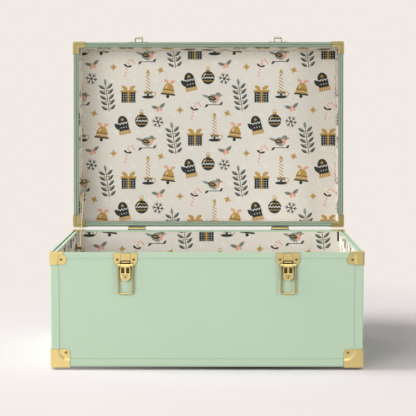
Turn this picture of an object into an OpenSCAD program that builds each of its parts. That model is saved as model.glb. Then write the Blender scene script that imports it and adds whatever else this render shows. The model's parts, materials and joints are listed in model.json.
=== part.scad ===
// Keepsake trunk with a printed lining, brass corners and two spring latches.
// Millimetres, +Z up. It stands open, with the floor at z = 0, the front towards -Y and
// the origin under the middle of the open trunk.
// The case is modelled about its own middle, and in_frame() moves it to that origin.
// The lid is modelled closed and lid_pose() opens it about the hinge pins.

/* [Case] */
// Width of the trunk over its edging
trunk_w = 610; // [560:1:700]
// Depth of the trunk over its edging
trunk_d = 417; // [390:1:480]
// Height of the base from its underside to its rim
base_h = 227; // [200:1:280]
// Height of the lid from its rim to its top
lid_h = 100; // [90:1:140]
// Thickness of the plywood panels
panel_t = 8.5; // [7:0.5:12]
// Thickness of the printed lining boards
lining_t = 1.5; // [1:0.1:2.5]
// Outer radius of the long edges under the base and over the lid
edge_r = 5; // [3:0.5:7]
// Outer radius of the upright edges
upright_r = 2.5; // [1.5:0.5:4]
// How far the lid leans past upright when it is open, added to a right angle
lid_lean = 4.4; // [0:0.1:10]

/* [Painted metal] */
// Sheet thickness of the rims and the edging
metal_t = 0.8; // [0.6:0.1:1.2]
// Width of each leg of the edging
edging_w = 16.5; // [14:0.5:20]
// Height of the rim's outer flange
flange_h = 12; // [8:0.5:14]
// Height of the rim's inner flange
inner_flange_h = 2.2; // [1.6:0.2:6]
// Depth of the base rim's inner shelf below its outer lip
shelf_drop = 1.2; // [0.4:0.1:1.6]
// Distance from the outer face to the middle of the tongue
tongue_in = 4.4; // [4:0.1:5]
// Thickness of the tongue on the lid rim
tongue_w = 1.8; // [1.2:0.1:2]
// Height of the tongue on the lid rim
tongue_h = 3.2; // [2.6:0.1:4]
// Width of the groove in the base rim
groove_w = 3.6; // [3.4:0.1:4]
// Depth of the groove in the base rim
groove_h = 3; // [2.6:0.1:4]
// Gap between the two rims when the lid is closed
closed_gap = 2; // [1.8:0.1:3]

/* [Brass corners] */
// Sheet thickness of the bottom and top corners
corner_t = 0.8; // [0.6:0.1:1.2]
// Length of a corner's legs along the case
corner_w = 37; // [32:0.5:42]
// Height of a corner's upright legs
corner_h = 36; // [32:0.5:42]
// Height of the pressed band along a corner's edges
band_h = 0.5; // [0.3:0.1:1]
// Width of the slope from the band down to the screw's recess
band_slope = 4.5; // [3:0.5:6]
// Distance from the case's edges to the foot of that slope, at the corner's free sides
recess_in = 17.5; // [17:0.5:21]
// The same distance at the two knees of the recess
knee_in = 19; // [17:0.5:22]
// Distance along the edges to those knees
knee_far = 27; // [24:0.5:30]
// Radius of the free tips of the corners
tip_r = 6.5; // [2:0.5:8]
// Distance from the case's edges to a corner's screw
corner_screw_in = 29.5; // [26:0.5:32]
// Sheet thickness of the rim corners
rim_corner_t = 0.6; // [0.4:0.1:0.7]
// Height of the pressed band of a rim corner over its sheet
rim_band_h = 0.9; // [0.4:0.1:1.2]
// Width of that band along the case's upright edge
rim_band_w = 12.5; // [9:0.5:15]
// Width of that band along the rim
rim_top_w = 4.5; // [3.5:0.5:6]
// Length of a rim corner's legs along the rim
rim_corner_w = 26; // [22:0.5:30]
// Height of a rim corner's upright legs
rim_corner_h = 25; // [22:0.5:28]
// Height of the pressed ridge that carries the tongue's line over the lid's rim corners
ridge_h = 0.7; // [0.3:0.1:0.8]
// Radius of the screw lobe of a rim corner
lobe_r = 10.4; // [8:0.1:11]
// Distance from the case's upright edge to the middle of the lobe
lobe_in = 22; // [20:0.5:28]
// Distance from the rim to the middle of the lobe
lobe_down = 14.4; // [13:0.1:16]

/* [Hinges] */
// Distance from the middle of the trunk to the middle of a hinge
hinge_x = 162; // [120:1:220]
// Width of a hinge
hinge_w = 38.5; // [30:0.5:50]
// Distance from the back face to the hinge axis
hinge_back = 5.5; // [5.2:0.1:7]
// Radius of the hinge barrel
barrel_r = 4.6; // [4.2:0.1:4.9]
// Radius of the hinge pin
hinge_pin_r = 2; // [1.5:0.1:2.5]
// Thickness of the hinge leaves
leaf_t = 1.4; // [1.2:0.1:2]
// Length of a leaf from the hinge axis
leaf_l = 27; // [22:0.5:32]

/* [Latches] */
// Distance from the middle of the trunk to the middle of a latch
latch_x = 158; // [110:1:220]
// Distance from the base rim to the top of the latch plate
plate_drop = 1.2; // [0.6:0.1:3]
// Thickness of the latch and keeper plates
plate_t = 1.2; // [1:0.1:1.4]
// Width of the latch plate at its screws
plate_w = 46; // [42:0.5:54]
// Width of the latch plate at its pin
plate_neck_w = 30; // [28:0.5:36]
// Length of the latch plate
plate_l = 42; // [40:0.5:44]
// Distance from the plate's top to the pin
pin_down = 24.3; // [23:0.1:26]
// Distance from the front face to the middle of the pin
pin_out = 5.2; // [5:0.1:6.4]
// Radius of the latch pin
latch_pin_r = 1.5; // [1.2:0.1:1.7]
// Radius of the lever's barrel, the bright roller of the latch
roller_r = 2.5; // [2.2:0.1:2.8]
// Length of the lever's barrel
roller_l = 18; // [15:0.5:18.5]
// Width of the lever below the ears
lever_w = 20; // [18:0.5:22]
// Length of the lever from the pin to its tip
lever_l = 29.7; // [28:0.1:33]
// Thickness of the lever's sheet
lever_t = 1.2; // [1:0.1:1.5]
// Width of each window in the lever
window_w = 6.4; // [5:0.1:6.7]
// Width of the bridge between the windows
bridge_w = 3.4; // [2.4:0.1:4]
// Height of the windows in the lever
window_h = 11.5; // [8:0.5:12]
// Diameter of the bail's wire
wire_d = 3.7; // [3:0.1:3.8]
// Outer width of the bail
bail_w = 31; // [30:0.5:34]
// Length of the bail from the pin to its outer edge
bail_l = 56.8; // [52:0.1:62]
// Radius of the lock plug
plug_r = 3.4; // [2.6:0.1:4]

/* [Keepers] */
// Width of the keeper over its ears
keeper_w = 44; // [38:0.5:50]
// Width of the keeper's hook
hook_w = 17.7; // [15:0.1:20]
// Distance from the lid's front face to the tip of the hook
hook_out = 15.6; // [14:0.1:18]
// Distance from the lid's front face to the root of the hook's tongue
hook_root_out = 7.6; // [6.5:0.1:8.5]

/* [Stay] */
// Depth of the stay's lid pivot above the hinge axis, with the lid closed
stay_lid_up = 68; // [60:0.5:72]
// Distance in front of the hinge axis to the stay's lid pivot, with the lid closed
stay_lid_fwd = 107.5; // [95:0.5:125]
// Distance in front of the hinge axis to the stay's base pivot
stay_base_fwd = 56.6; // [50:0.1:66]
// Distance below the hinge axis to the stay's base pivot
stay_base_down = 34.5; // [30:0.1:42]
// Distance from the lining to the outer side of the lower link
stay_off = 9.4; // [7:0.1:12]
// Width of the stay's links
link_w = 12; // [9:0.5:14]
// Thickness of the stay's links
link_t = 1.5; // [1.2:0.1:2]
// Radius of the stay's pivots
stay_pin_r = 2.5; // [2:0.1:3]

/* [Feet] */
// Height of the case's underside above the floor
foot_h = 5; // [4:0.5:10]
// Radius of a glide
foot_r = 9; // [7:0.5:12]
// Distance from the case's faces to the middle of a glide
foot_in = 50; // [48:1:60]

/* [Hidden] */

$fn = 24;
PAINT = [0.73, 0.84, 0.71];
PAPER = [0.80, 0.77, 0.72];
BRASS = [0.86, 0.72, 0.42];
STEEL = [0.30, 0.28, 0.25];
RUBBER = [0.12, 0.12, 0.12];

// Clearances and overruns
cut = 1;
seat_gap = 0.1;
run_gap = 0.05;
side_gap = 0.3;
seam = 0.15;

open_a = 90 + lid_lean;
rim_w = 2 * metal_t + panel_t + lining_t + seat_gap;
in_x = trunk_w / 2 - metal_t - panel_t;
in_y = trunk_d / 2 - metal_t - panel_t;
clear_x = in_x - lining_t;
clear_y = in_y - lining_t;
rim_z = foot_h + base_h;
axis_y = trunk_d / 2 + hinge_back;
axis_z = rim_z + closed_gap / 2;
lid_z = rim_z + closed_gap;
groove_seat = groove_h + metal_t;
// The corners' recesses lie on the panels, which are a sheet lower than the edging
lobe_out = seat_gap - metal_t + corner_t;
rim_side_out = seat_gap + rim_corner_t + rim_band_h;

// Screws
head_r = 2.6;
head_h = 1.4;
shank_r = 1.5;
shank_l = 7;
cross_w = 0.8;
cross_l = 3;
cross_h = 1;

// Latch: places of its pieces along the pin
ear_t = 1.4;
ear_r = 3.2;
ear_in = roller_l / 2 + side_gap;
plate_shoulder = 17;
plate_screw_x = 16;
plate_screw_down = 13;
strip_h = 0.8;
bead_z = -18.2;
bead_h = 6;
bead_wall = 1.4;
spring_t = 0.6;
lever_out = pin_out + roller_r - lever_t;
lever_back = 2.2;
rib_r = 1.1;
window_top = 3.4;
rib_down = window_top + window_h + rib_r + side_gap;
lock_down = 21.6;
bezel_w = 1.2;
bezel_h = 0.6;
cam_t = 0.6;
cam_l = 6;
key_w = 1.5;
bend_r = 4;

// Keeper: its length along the lid and its ears
keeper_top = 5;
keeper_l = 32;
keeper_screw_x = 16.5;
keeper_screw_up = 12;
ear_band = 13;
leg_share = 0.7;

// Stay: places across the trunk and along its links, from the hinge axis
link_x = -clear_x + stay_off;
upper_x = link_x + link_t + side_gap;
base_pivot = [-stay_base_fwd, -stay_base_down];
lid_pivot = [-stay_lid_fwd, stay_lid_up];
lid_pivot_open = opened(lid_pivot);
elbow = base_pivot + lid_pivot_open;
boss_r = 4.6;
bracket_t = 1.6;
stop_r = 1.2;
// The stop sits beside the upper link, just ahead of the elbow
upper_dir = -base_pivot / norm(base_pivot);
stop_at = lid_pivot_open + (link_w / 2 + stop_r + side_gap) * [-upper_dir[1], upper_dir[0]]
    + link_w * 0.7 * upper_dir;

// The open trunk reaches from the levers' ribs to the lid's top corners
front_reach = lever_out + lever_t + rib_r;
top_turn = opened([edge_r - hinge_back - trunk_d, closed_gap / 2 + lid_h - edge_r]);
back_reach = hinge_back + top_turn[0] + edge_r + seat_gap + corner_t + band_h;
mid_y = (back_reach - front_reach) / 2;

// A point [y, z] from the hinge axis, turned from the closed to the open lid
function opened(p) = [p[0] * cos(open_a) + p[1] * sin(open_a), p[1] * cos(open_a) - p[0] * sin(open_a)];
// Half the length of a side, and its distance from the middle: 0 front, 1 right, 2 back, 3 left
function half_run(side) = side % 2 == 0 ? trunk_w / 2 : trunk_d / 2;
function face_out(side) = side % 2 == 0 ? trunk_d / 2 : trunk_w / 2;
function inner_run(side) = side % 2 == 0 ? in_x : in_y;
function inner_out(side) = side % 2 == 0 ? in_y : in_x;

module in_frame() translate([0, -mid_y, 0]) children();
module base_pose() in_frame() translate([0, 0, foot_h]) children();
// Children are given closed, with z = 0 at the lid's rim
module lid_pose() {
    in_frame() translate([0, axis_y, axis_z]) rotate([-open_a, 0, 0])
        translate([0, -axis_y, lid_z - axis_z]) children();
}
module turned(side) rotate([0, 0, 90 * side]) children();
// Upside down, so that the lid shares the shapes of the base
module flipped(h) translate([0, 0, h]) mirror([0, 0, 1]) children();
// Extrude a profile drawn as [y, z] along +X
module along_x(length) rotate([90, 0, 90]) linear_extrude(length) children();
module centred_x(length) translate([-length / 2, 0, 0]) along_x(length) children();

// Case outline

module footed(w, h, r) {
    translate([-w / 2, r]) square([w, h - r]);
    translate([r - w / 2, 0]) square([w - 2 * r, 2 * r]);
    for (s = [-1, 1]) translate([s * (w / 2 - r), r]) circle(r);
}
module plan(grow) {
    offset(r = upright_r + grow) square([trunk_w - 2 * upright_r, trunk_d - 2 * upright_r], center = true);
}
// The case with its faces moved out by grow, from its rounded underside up to h
module case_form(grow, h) {
    intersection() {
        translate([0, trunk_d, -grow]) rotate([90, 0, 0])
            linear_extrude(2 * trunk_d) footed(trunk_w + 2 * grow, h + grow, edge_r + grow);
        rotate([0, 0, 90]) translate([0, trunk_w, -grow]) rotate([90, 0, 0])
            linear_extrude(2 * trunk_w) footed(trunk_d + 2 * grow, h + grow, edge_r + grow);
        translate([0, 0, -grow]) linear_extrude(h + grow) plan(grow);
    }
}
module skin(inner, outer, h) {
    difference() {
        case_form(outer, h);
        case_form(inner, h + cut);
    }
}
// Space of one side's rail, with mitred ends
module mitre(side, run, h) {
    a = half_run(side) - seam;
    turned(side) translate([0, -face_out(side), -h]) linear_extrude(2 * h)
        polygon([[-a - 2 * cut, -2 * cut], [a + 2 * cut, -2 * cut], [a - run, run], [run - a, run]]);
}
// Space at one upright edge, sx and sy giving the quarter
module quarter(sx, sy, run_x, run_y, z0, z1) {
    translate([sx * trunk_w / 2, sy * trunk_d / 2, z0]) mirror([sx > 0 ? 1 : 0, 0, 0])
        mirror([0, sy > 0 ? 1 : 0, 0]) translate([-4 * cut, -4 * cut, 0])
            cube([run_x + 4 * cut, run_y + 4 * cut, z1 - z0]);
}

// Walls, edging and rims

module wall(side, z0, z1, h) {
    intersection() {
        case_form(-metal_t, h - metal_t);
        turned(side) translate([-(side % 2 == 0 ? trunk_w / 2 : in_y), -face_out(side), z0])
            cube([side % 2 == 0 ? trunk_w : 2 * in_y, metal_t + panel_t, z1 - z0]);
    }
}
module floor_board(z) translate([-in_x, -in_y, z]) cube([2 * in_x, 2 * in_y, panel_t]);
module lining_floor(z) translate([-in_x, -in_y, z]) cube([2 * in_x, 2 * in_y, lining_t]);
module lining_wall(side, z0, z1) {
    a = side % 2 == 0 ? in_x : clear_y - seam;
    turned(side) translate([-a, -inner_out(side), z0]) cube([2 * a, lining_t, z1 - z0]);
}
module edge_rails(h) {
    for (side = [0:3]) intersection() {
        skin(-metal_t, 0, h);
        mitre(side, edging_w, edging_w);
    }
}
module upright_rails(h) {
    for (sx = [-1, 1], sy = [-1, 1]) intersection() {
        skin(-metal_t, 0, h);
        quarter(sx, sy, edging_w, edging_w, edging_w + seam, h - flange_h - seam);
    }
}
module channel_profile(h) {
    translate([0, h - flange_h]) square([metal_t, flange_h]);
    translate([0, h - metal_t]) square([rim_w, metal_t]);
    translate([rim_w - metal_t, h - inner_flange_h]) square([metal_t, inner_flange_h]);
}
module rim_rail(side, h) {
    intersection() {
        turned(side) translate([-half_run(side), -face_out(side), 0])
            along_x(2 * half_run(side)) children();
        mitre(side, rim_w, 2 * h);
        linear_extrude(2 * h) plan(0);
    }
}

// Screws, drawn along +Z with the seat of the head at z = 0

module screw() {
    difference() {
        rotate_extrude() polygon([
            [0, -shank_l], [shank_r - cut / 4, -shank_l], [shank_r, cut - shank_l], [shank_r, 0], [head_r, 0],
            [head_r, head_h * 0.4], [head_r * 0.8, head_h * 0.8], [head_r * 0.4, head_h], [0, head_h]
        ]);
        for (a = [45, 135]) rotate([0, 0, a]) translate([-cross_l / 2, -cross_w / 2, head_h - cross_h])
            cube([cross_l, cross_w, 2 * cross_h]);
    }
}
module screw_hole() translate([0, 0, -shank_l - seat_gap]) cylinder(r = shank_r + run_gap, h = shank_l + 3 * cut);
module face_site(side, x, z, out) {
    turned(side) translate([x, -face_out(side) - out, z]) rotate([90, 0, 0]) children();
}
// Sites shared by the base and the lid, for a case of height h with its rim at the top
module corner_sites(h) {
    for (side = [0:3], s = [-1, 1]) {
        face_site(side, s * (half_run(side) - corner_screw_in), corner_screw_in, lobe_out) children();
        face_site(side, s * (half_run(side) - lobe_in), h - lobe_down, seat_gap + rim_corner_t) children();
    }
}
leaf_screw_x = hinge_w / 4;
leaf_screw_down = leaf_l * 0.72;
module base_sites() {
    corner_sites(base_h) children();
    for (s = [-1, 1], t = [-1, 1]) {
        face_site(0, s * latch_x + t * plate_screw_x, base_h - plate_drop - plate_screw_down, plate_t) children();
        face_site(2, s * hinge_x + t * leaf_screw_x, base_h + closed_gap / 2 - leaf_screw_down, leaf_t) children();
    }
}
// The lid is flipped, so its sites lie at the same heights below the rim
module lid_sites() {
    corner_sites(lid_h) children();
    for (s = [-1, 1], t = [-1, 1]) {
        face_site(0, s * latch_x + t * keeper_screw_x, lid_h - keeper_screw_up, plate_t) children();
        face_site(2, s * hinge_x + t * leaf_screw_x, lid_h + closed_gap / 2 - leaf_screw_down, leaf_t) children();
    }
}
module base_part() base_pose() difference() {
    children();
    base_sites() screw_hole();
}
module lid_part() lid_pose() flipped(lid_h) difference() {
    children();
    lid_sites() screw_hole();
}

// Base

module base_front_panel() color(PAINT) base_part() wall(0, 0, base_h - groove_seat, base_h);
module base_right_panel() color(PAINT) base_part() wall(1, 0, base_h - groove_seat, base_h);
module base_back_panel() color(PAINT) base_part() wall(2, 0, base_h - groove_seat, base_h);
module base_left_panel() color(PAINT) base_part() wall(3, 0, base_h - groove_seat, base_h);
module base_bottom_panel() color(PAINT) base_pose() floor_board(metal_t);
module floor_lining() color(PAPER) base_pose() lining_floor(metal_t + panel_t);
module base_linings() {
    color(PAPER) base_pose() for (side = [0:3])
        lining_wall(side, metal_t + panel_t + lining_t, base_h - shelf_drop - metal_t);
}
// The base rim's lip, its groove and the lower shelf behind it
module groove_profile(h) {
    shelf = h - shelf_drop;
    difference() {
        union() {
            translate([0, h - flange_h]) square([metal_t, flange_h]);
            translate([0, h - metal_t]) square([tongue_in, metal_t]);
            translate([tongue_in, shelf - metal_t]) square([rim_w - tongue_in, metal_t]);
            translate([rim_w - metal_t, shelf - inner_flange_h]) square([metal_t, inner_flange_h]);
            translate([tongue_in - groove_w / 2 - metal_t, h - groove_seat])
                square([groove_w + 2 * metal_t, groove_seat]);
        }
        translate([tongue_in - groove_w / 2, h - groove_h]) square([groove_w, groove_h + cut]);
        translate([tongue_in, shelf]) square([rim_w, shelf_drop + cut]);
    }
}
module base_rim() color(PAINT) base_part() for (side = [0:3]) rim_rail(side, base_h) groove_profile(base_h);
module base_edging() color(PAINT) base_part() edge_rails(base_h);
module base_uprights() color(PAINT) base_part() upright_rails(base_h);

// Brass corners, drawn for a case of height h with its rim at the top

module at_corner(sx, sy) {
    translate([sx * trunk_w / 2, sy * trunk_d / 2, 0]) mirror([sx > 0 ? 1 : 0, 0, 0])
        mirror([0, sy > 0 ? 1 : 0, 0]) children();
}
// Children are drawn as [run, height] from the edges of a face, with +Z outwards
module on_faces() {
    rotate([90, 0, 0]) children();
    rotate([0, -90, 0]) children();
    mirror([0, 0, 1]) children();
}
// Space of one corner, its free tips rounded in each of the three faces
module corner_cell(run, h) {
    intersection() {
        translate([0, run, 0]) rotate([90, 0, 0]) linear_extrude(2 * run) tipped(run, h);
        translate([-run, 0, 0]) rotate([90, 0, 90]) linear_extrude(2 * run) tipped(run, h);
        translate([0, 0, -run]) linear_extrude(2 * run) tipped(run, run);
    }
}
module tipped(w, h) {
    offset(r = tip_r) translate([-w, -w]) square([2 * w - tip_r, w + h - tip_r]);
}
// Space on the left of the line from a to b, its side leaning outwards by run over rise
module beyond(a, b, run, rise) {
    reach = 3 * corner_w;
    translate([a[0], a[1], 0]) rotate([0, 0, atan2(b[1] - a[1], b[0] - a[0])]) rotate([atan2(run, rise), 0, 0])
        translate([-reach, 0, -reach]) cube(2 * reach);
}
// Recess for a corner's screw, between the bands along the two edges of a face
module recess(depth) {
    tall = 2 * corner_w;
    knees = [[knee_in, knee_far], [knee_far, knee_in]];
    intersection() {
        translate([0, 0, lobe_out]) cube([tall, tall, tall]);
        translate([0, 0, lobe_out]) beyond([recess_in, corner_h], knees[0], band_slope, depth);
        translate([0, 0, lobe_out]) beyond(knees[0], knees[1], band_slope, depth);
        translate([0, 0, lobe_out]) beyond(knees[1], [corner_w, recess_in], band_slope, depth);
    }
}
// The band lies over the edging, along the three edges that meet here, and the rest on the panels
module case_corner(sx, sy, h) {
    outer = seat_gap + corner_t + band_h;
    lap = edging_w + seat_gap;
    difference() {
        intersection() {
            case_form(outer, h);
            at_corner(sx, sy) corner_cell(corner_w, corner_h);
        }
        case_form(seat_gap - metal_t, h);
        intersection() {
            case_form(seat_gap, h);
            union() {
                quarter(sx, sy, lap, lap, -2 * cut, h);
                quarter(sx, sy, lap, 2 * corner_w, -2 * cut, lap);
                quarter(sx, sy, 2 * corner_w, lap, -2 * cut, lap);
            }
        }
        at_corner(sx, sy) on_faces() recess(outer - lobe_out);
    }
}
// The rim with its sides moved out by side and its top raised by top
module rim_form(side, top, h) {
    translate([0, 0, h - 2 * rim_corner_h]) linear_extrude(2 * rim_corner_h + top) plan(side);
}
module ring(inset, half_w, z, depth) {
    translate([0, 0, z]) linear_extrude(depth) difference() {
        plan(half_w - inset);
        plan(-half_w - inset);
    }
}
module grooved_form(side, top, h, grooved) {
    difference() {
        rim_form(side, top, h);
        if (grooved) {
            ring(tongue_in, groove_w / 2 - top, h - groove_h + top, groove_h + cut);
            translate([0, 0, h - shelf_drop + top]) linear_extrude(shelf_drop + cut) plan(-tongue_in);
        }
    }
}
// Outline of a rim corner on one face, from the case's upright edge
module lobed(h) {
    foot = h - rim_corner_h;
    translate([-rim_corner_w, foot]) square([rim_corner_w + rim_band_w, rim_corner_h + 2 * cut]);
    translate([-rim_corner_w, h - lobe_down]) square([2 * rim_corner_w, lobe_down + 2 * cut]);
    translate([0, h - lobe_down - lobe_r + cut]) square([lobe_in, lobe_r]);
    translate([lobe_in, h - lobe_down]) circle(lobe_r);
}
// Recess for a rim corner's screw, on the front and on the side, and the bevel along the rim
module rim_recess(h) {
    tall = 2 * rim_corner_w;
    sheet_out = seat_gap + rim_corner_t;
    foot = [rim_band_w + band_slope, h - rim_corner_h];
    knee = [lobe_in, h - rim_top_w - rim_band_h];
    intersection() {
        translate([0, h - tall, sheet_out]) cube([tall, tall, tall]);
        translate([0, 0, sheet_out]) beyond([rim_corner_w, knee[1]], knee, rim_band_h, rim_band_h);
        translate([0, 0, sheet_out]) beyond([lobe_in - band_slope / 2, knee[1]], foot, band_slope, rim_band_h);
    }
}
module rim_bevel(h) {
    translate([-rim_corner_w, h + seat_gap + rim_corner_t - rim_band_h, rim_side_out]) rotate([45, 0, 0])
        cube([3 * rim_corner_w, 3 * rim_band_h, 3 * rim_band_h]);
}
module rim_corner(sx, sy, h, grooved) {
    run = lobe_in + lobe_r;
    intersection() {
        difference() {
            union() {
                grooved_form(rim_side_out, seat_gap + rim_corner_t, h, grooved);
                if (!grooved) ring(tongue_in, tongue_w / 2 - seat_gap, h, seat_gap + rim_corner_t + ridge_h);
            }
            grooved_form(seat_gap, seat_gap, h, grooved);
            translate([0, 0, h - 3 * rim_corner_h]) linear_extrude(4 * rim_corner_h) square(
                [trunk_w - 2 * rim_w, trunk_d - 2 * rim_w], center = true);
            at_corner(sx, sy) {
                rotate([90, 0, 0]) rim_recess(h);
                rotate([90, 0, 0]) rim_bevel(h);
                mirror([1, 0, 0]) rotate([90, 0, 90]) rim_recess(h);
                mirror([1, 0, 0]) rotate([90, 0, 90]) rim_bevel(h);
            }
        }
        at_corner(sx, sy) intersection() {
            translate([0, run, 0]) rotate([90, 0, 0]) linear_extrude(2 * run) lobed(h);
            translate([-run, 0, 0]) along_x(2 * run) lobed(h);
        }
    }
}
module base_corners() color(BRASS) base_part() for (sx = [-1, 1], sy = [-1, 1]) case_corner(sx, sy, base_h);
module base_rim_corners() {
    color(BRASS) base_part() for (sx = [-1, 1], sy = [-1, 1]) rim_corner(sx, sy, base_h, true);
}
module base_screws() color(BRASS) base_pose() base_sites() screw();
module glides() {
    color(RUBBER) in_frame() for (sx = [-1, 1], sy = [-1, 1])
        translate([sx * (trunk_w / 2 - foot_in), sy * (trunk_d / 2 - foot_in), 0])
            rotate_extrude($fn = 32) polygon([
                [0, 0], [foot_r * 0.85, 0], [foot_r, foot_r * 0.15], [foot_r, foot_h + metal_t], [0, foot_h + metal_t]
            ]);
}

// Hinges, drawn from the hinge axis with the lid closed

knuckle_l = (hinge_w - 2 * side_gap) / 3;
module knuckle(x) {
    translate([x, 0, 0]) along_x(knuckle_l) difference() {
        union() {
            circle(barrel_r);
            translate([-hinge_back, -barrel_r]) square([leaf_t, barrel_r]);
        }
        circle(hinge_pin_r + run_gap);
    }
}
// A leaf hanging below the axis; those of the lid are flipped
module leaf(knuckles) {
    translate([-hinge_w / 2, -hinge_back, -leaf_l]) cube([hinge_w, leaf_t, leaf_l - barrel_r * 0.6]);
    for (k = knuckles) knuckle(k * (knuckle_l + side_gap) - hinge_w / 2);
}
module hinge_base_leaves() {
    color(BRASS) base_part() for (s = [-1, 1])
        translate([s * hinge_x, axis_y, axis_z - foot_h]) leaf([0, 2]);
}
module hinge_lid_leaves() {
    color(BRASS) lid_part() for (s = [-1, 1])
        translate([s * hinge_x, axis_y, lid_h + closed_gap / 2]) leaf([1]);
}
module hinge_pins() {
    color(BRASS) in_frame() for (s = [-1, 1]) translate([s * hinge_x, axis_y, axis_z]) rotate([0, 90, 0]) {
        cylinder(r = hinge_pin_r, h = hinge_w, center = true);
        for (t = [0, 1]) mirror([0, 0, t]) translate([0, 0, hinge_w / 2 + run_gap]) pin_head(hinge_pin_r);
    }
}
// A domed head on a pin of radius r, overlapping the pin's end by its own depth
module pin_head(r) {
    rotate_extrude() polygon([[0, -r / 4], [r, -r / 4], [r, 0], [r * 1.5, 0], [r * 1.4, r * 0.35], [r * 0.7, r * 0.6], [0, r * 0.6]]);
}

// Latches, drawn as [x, z] from the top of the plate, with outward() raising them from the front

module outward(from, to) translate([0, -from, 0]) rotate([90, 0, 0]) linear_extrude(to - from) children();
module latch_pose(s) {
    in_frame() translate([s * latch_x, -trunk_d / 2, rim_z - plate_drop]) children();
}
module at_pin(s) latch_pose(s) translate([0, -pin_out, -pin_down]) children();
module pill(w, h) hull() for (t = [-1, 1]) translate([t * (w - h) / 2, 0]) circle(h / 2);
module tube_x(r, bore, length) {
    along_x(length) difference() {
        circle(r);
        circle(bore);
    }
}
module plate_outline() {
    half = plate_w / 2;
    neck = plate_neck_w / 2;
    toe = lever_w / 2 - lever_t;
    neck_z = -pin_down - 1.5 * ear_r;
    offset(r = 2) offset(delta = -2) polygon([
        [-half, 0], [half, 0], [half, -plate_shoulder], [neck, neck_z], [neck, neck_z - ear_r],
        [toe, neck_z - 2 * ear_r], [toe, -plate_l], [-toe, -plate_l], [-toe, neck_z - 2 * ear_r],
        [-neck, neck_z - ear_r], [-neck, neck_z], [-half, -plate_shoulder]
    ]);
}
module latch_plate() {
    face = plate_t / 2;
    outward(0, face) plate_outline();
    // Pressed strip down to the bead, and the groove around the bead
    outward(face / 2, plate_t) difference() {
        plate_outline();
        translate([0, bead_z]) pill(lever_w, bead_h);
    }
    outward(face, plate_t + strip_h) difference() {
        translate([-roller_l / 2, bead_z]) square([roller_l, -bead_z - strip_h]);
        translate([0, bead_z]) pill(lever_w, bead_h);
    }
    outward(face / 2, plate_t + strip_h) translate([0, bead_z])
        pill(lever_w - 2 * bead_wall, bead_h - 2 * bead_wall);
    for (s = [-1, 1]) translate([s > 0 ? ear_in : -ear_in - ear_t, 0, -pin_down]) along_x(ear_t) difference() {
        union() {
            translate([-pin_out, 0]) circle(ear_r);
            translate([-pin_out, -ear_r]) square([pin_out - plate_t / 2, 2 * ear_r]);
        }
        translate([-pin_out, 0]) circle(latch_pin_r + run_gap);
    }
}
module latch_plates() {
    color(BRASS) difference() {
        for (s = [-1, 1]) latch_pose(s) latch_plate();
        base_pose() base_sites() screw_hole();
    }
}
module latch_pins() {
    color(BRASS) for (s = [-1, 1]) at_pin(s) rotate([0, 90, 0]) {
        cylinder(r = latch_pin_r, h = bail_w, center = true);
        for (t = [0, 1]) mirror([0, 0, t]) translate([0, 0, bail_w / 2 + side_gap]) pin_head(latch_pin_r);
    }
}
// A leaf spring on the plate that presses on the lever behind its windows
module latch_springs() {
    tip_out = pin_out - roller_r / 2;
    tip_z = -pin_down - ear_r - cut;
    foot_z = -plate_l + 2 * cut;
    bend_z = (tip_z + foot_z) / 2;
    color(STEEL) for (s = [-1, 1]) latch_pose(s) centred_x(2 * window_w + bridge_w) polygon([
        [-plate_t, foot_z], [-plate_t, bend_z], [-tip_out, tip_z], [-tip_out - spring_t, tip_z],
        [-plate_t - spring_t, bend_z - spring_t], [-plate_t - spring_t, foot_z]
    ]);
}

// The lever is drawn from its pin; out gives a distance outwards from the front face
module lever_outline() {
    shoulder = ear_r + 2 * side_gap;
    translate([-roller_l / 2, -shoulder - cut]) square([roller_l, shoulder + cut]);
    translate([-lever_w / 2, lever_w / 2 - lever_l]) square([lever_w, lever_l - lever_w / 2 - shoulder]);
    translate([0, lever_w / 2 - lever_l]) circle(lever_w / 2, $fn = 48);
}
module windows() {
    for (s = [-1, 1]) translate([s * (window_w + bridge_w) / 2 - window_w / 2, -window_top - window_h])
        square([window_w, window_h]);
}
module lever(s) {
    sheet = lever_out - pin_out;
    cheek_in = lever_back - pin_out;
    shoulder = ear_r + 2 * side_gap;
    tail = lever_w / 2 - lever_l;
    at_pin(s) difference() {
        union() {
            translate([-roller_l / 2, 0, 0]) along_x(roller_l) circle(roller_r);
            outward(sheet, sheet + lever_t) difference() {
                lever_outline();
                windows();
            }
            translate([0, -sheet - lever_t, -rib_down]) rotate([0, 90, 0])
                cylinder(r = rib_r, h = lever_w - 2 * rib_r, center = true);
            for (t = [-1, 1]) translate([t * (lever_w - lever_t) / 2, 0, 0]) centred_x(lever_t) polygon([
                [-sheet - lever_t, -shoulder], [-cheek_in - cut, -shoulder], [-cheek_in, -shoulder - 2 * cut],
                [-cheek_in, tail + 2 * cut], [-sheet, tail], [-sheet - lever_t, tail]
            ]);
            translate([0, 0, -lock_down]) outward(cheek_in, sheet + lever_t + bezel_h) circle(plug_r + bezel_w);
        }
        translate([0, 0, -lock_down]) outward(cheek_in - cut, sheet + 2 * lever_t) circle(plug_r + run_gap);
        translate([-lever_w, 0, 0]) along_x(2 * lever_w) circle(latch_pin_r + run_gap);
    }
}
module lever_left() color(BRASS) lever(-1);
module lever_right() color(BRASS) lever(1);
module lock_plug(s) {
    back = lever_back - side_gap - cam_t - pin_out;
    face = lever_out + lever_t - pin_out + bezel_h / 2;
    at_pin(s) translate([0, 0, -lock_down]) difference() {
        union() {
            outward(back, face) circle(plug_r);
            outward(back, back + cam_t) {
                circle(plug_r + bezel_w / 2);
                translate([-plug_r / 2, -cam_l]) square([plug_r, cam_l]);
            }
        }
        outward(face - 4 * cut, face + cut) square([key_w, plug_r * 1.6], center = true);
    }
}
module lock_plug_left() color(BRASS) lock_plug(-1);
module lock_plug_right() color(BRASS) lock_plug(1);
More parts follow.
